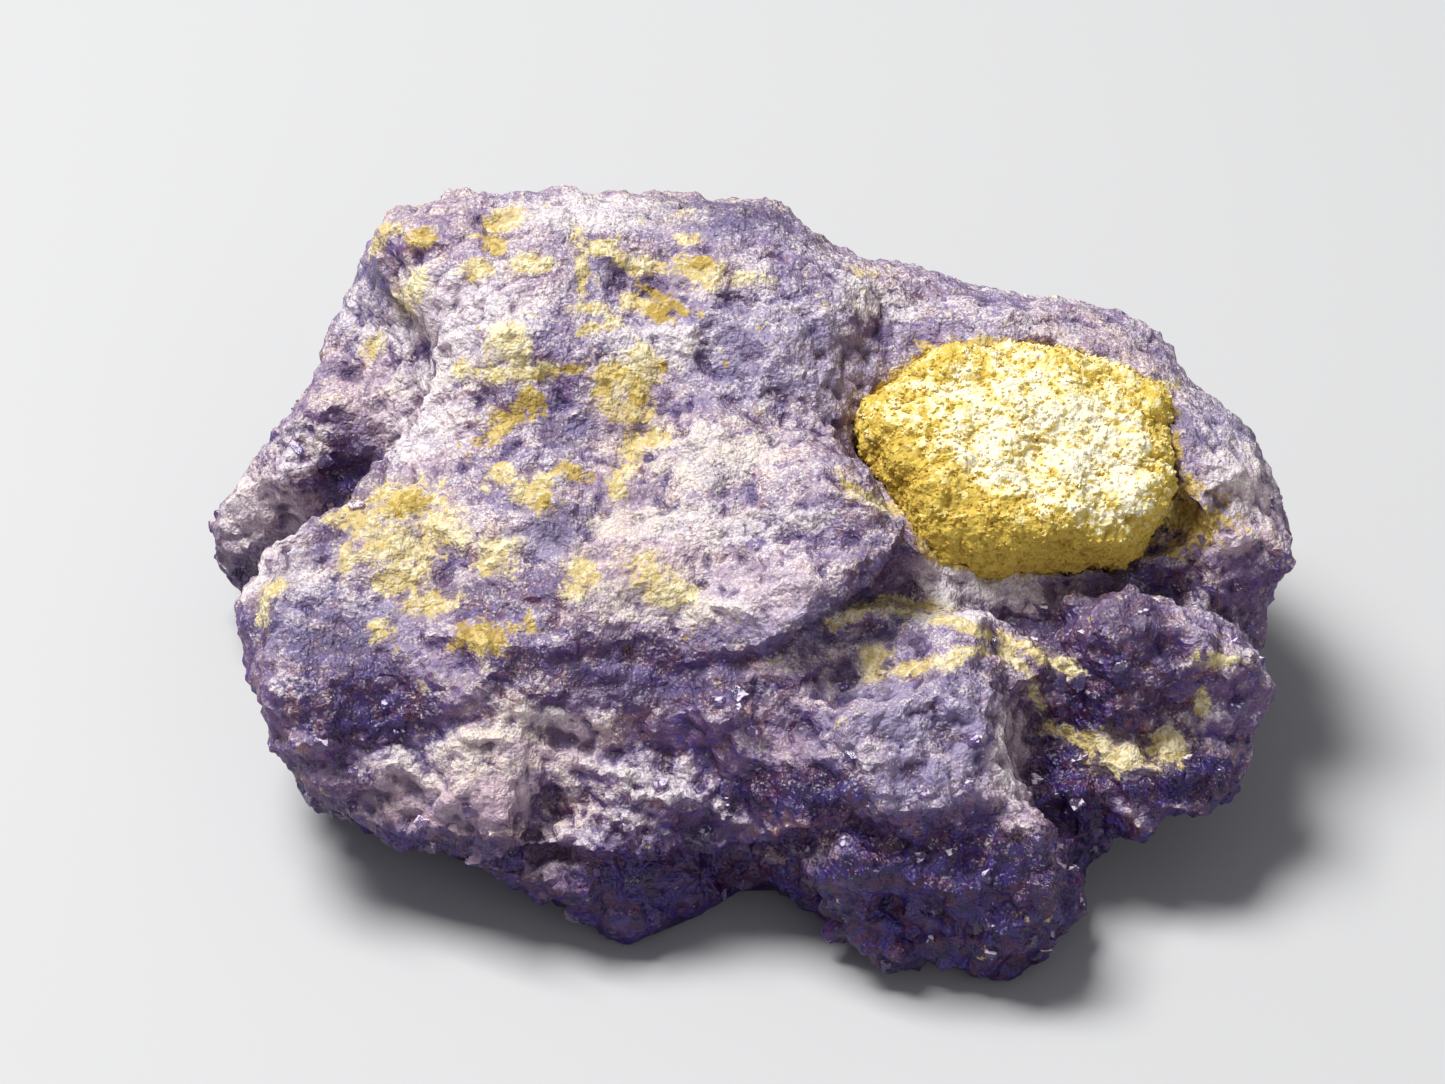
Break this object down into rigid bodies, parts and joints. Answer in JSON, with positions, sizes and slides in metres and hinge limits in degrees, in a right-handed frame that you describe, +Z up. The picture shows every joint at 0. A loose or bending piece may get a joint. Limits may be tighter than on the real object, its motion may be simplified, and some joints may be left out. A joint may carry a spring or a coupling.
{
  "type": "coquimbite crystal specimen",
  "caption": "Rough lump of massive purple coquimbite with yellow powdery patches and a granular yellow nodule in its shoulder, resting on a flat underside.",
  "frame": {"origin": "under the middle of the bounding box, on the flat face that the specimen rests on", "axes": "+X along the specimen's length towards the shoulder with the nodule, -Y towards its steep broken front, +Z up"},
  "size_m": [0.0556, 0.0414, 0.0261],
  "materials": {
    "coquimbite": "rough granular purple crystal under white dust and thin yellow crust, glossy and deeper violet where freshly broken",
    "yellow_sulphate": "dull granular mustard yellow with cream grains on top"
  },
  "bodies": {
    "root": {"coquimbite_mass": "coquimbite", "yellow_nodule": "yellow_sulphate"}
  },
  "joints": []
}
